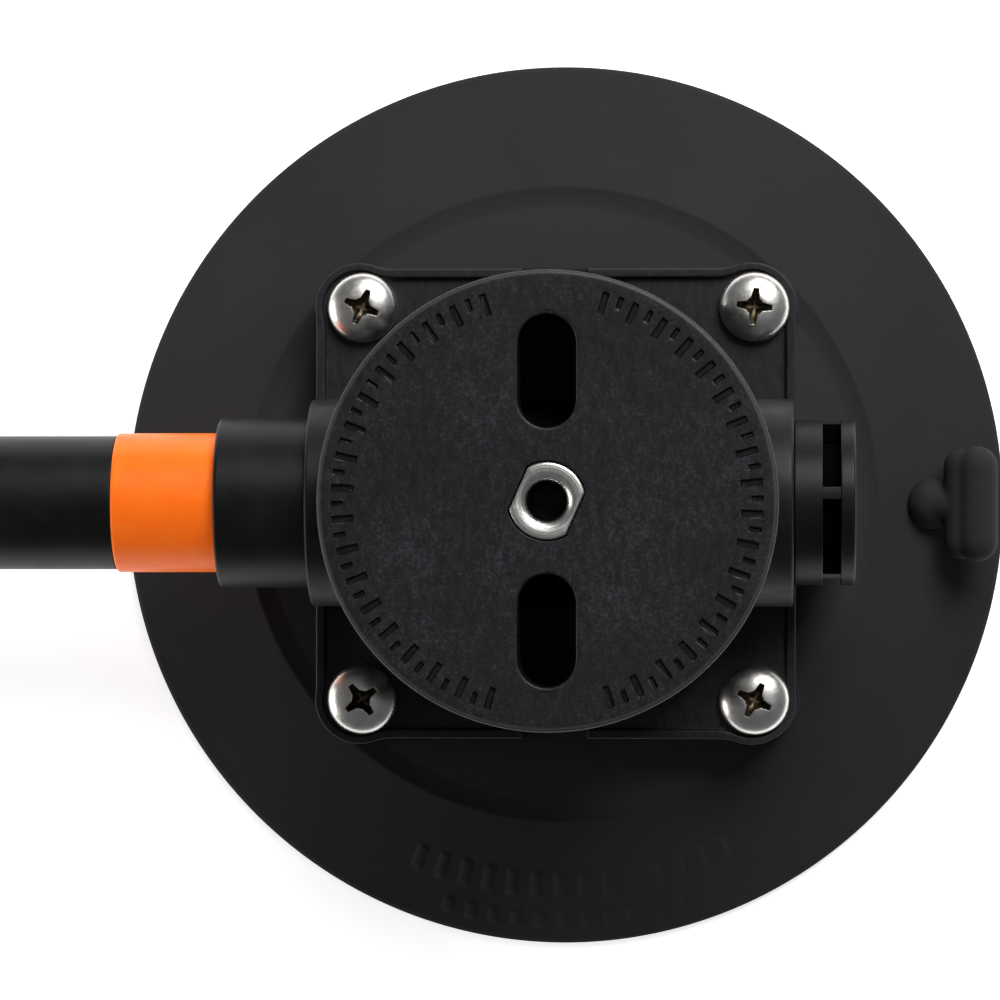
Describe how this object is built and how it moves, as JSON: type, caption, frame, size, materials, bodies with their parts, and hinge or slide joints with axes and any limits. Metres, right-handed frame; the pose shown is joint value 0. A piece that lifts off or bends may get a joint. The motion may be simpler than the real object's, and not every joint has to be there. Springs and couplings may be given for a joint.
{
  "type": "vacuum suction cup",
  "caption": "Hand-pumped vacuum suction cup: round rubber pad, square pump housing with a sprung plunger, and a slotted round mounting plate with a threaded insert.",
  "frame": {"origin": "middle of the plane that the pad's sealing lip lies in, on the stop boss in the middle of the pad's underside", "axes": "+Z out of the gripped surface, along the threaded insert; the pump lies along X, with its plunger towards -X and its exhaust and the release tab towards +X"},
  "size_m": [0.1802, 0.1524, 0.065],
  "materials": {
    "pad_rubber": "matte moulded black rubber",
    "housing_nylon": "black moulded nylon",
    "plate_nylon": "mottled black glass-filled nylon",
    "pump_acetal": "satin black acetal",
    "band_orange": "satin orange plastic",
    "stainless": "polished stainless steel",
    "backing_aluminium": "as-machined aluminium",
    "spring_steel": "drawn spring steel",
    "seal_rubber": "soft black seal rubber",
    "filter_felt": "white felt"
  },
  "bodies": {
    "base": {"vacuum_pad": "pad_rubber", "release_tab": "pad_rubber", "backing_plate": "backing_aluminium", "port_filter": "filter_felt", "valve_plate": "housing_nylon", "port_seal": "seal_rubber", "pump_housing": "housing_nylon", "mount_plate": "plate_nylon", "threaded_insert": "stainless", "housing_screw_1": "stainless", "housing_screw_2": "stainless", "housing_screw_3": "stainless", "housing_screw_4": "stainless", "pump_barrel": "pump_acetal", "barrel_seal_1": "seal_rubber", "barrel_seal_2": "seal_rubber", "guide_bush": "pump_acetal", "retaining_ring": "spring_steel", "vent_cap": "pump_acetal", "plunger_spring": "spring_steel"},
    "plunger": {"plunger": "pump_acetal", "indicator_band": "band_orange", "piston_seal": "seal_rubber"},
    "inlet_valve": {"inlet_valve": "seal_rubber"},
    "exhaust_valve": {"exhaust_valve": "seal_rubber"}
  },
  "joints": [
    {"name": "plunger_slide", "type": "slide", "parent": "base", "child": "plunger", "axis": [1, 0, 0], "range_m": [0, 0.04], "stiffness_N_per_m": 400, "springref_m": -0.02, "deforming": ["plunger_spring"]},
    {"name": "inlet_valve_lift", "type": "slide", "parent": "base", "child": "inlet_valve", "axis": [0, 0, 1], "range_m": [0, 0.001], "stiffness_N_per_m": 20, "springref_m": -0.001},
    {"name": "exhaust_valve_lift", "type": "slide", "parent": "base", "child": "exhaust_valve", "axis": [1, 0, 0], "range_m": [0, 0.001], "stiffness_N_per_m": 20, "springref_m": -0.001}
  ]
}
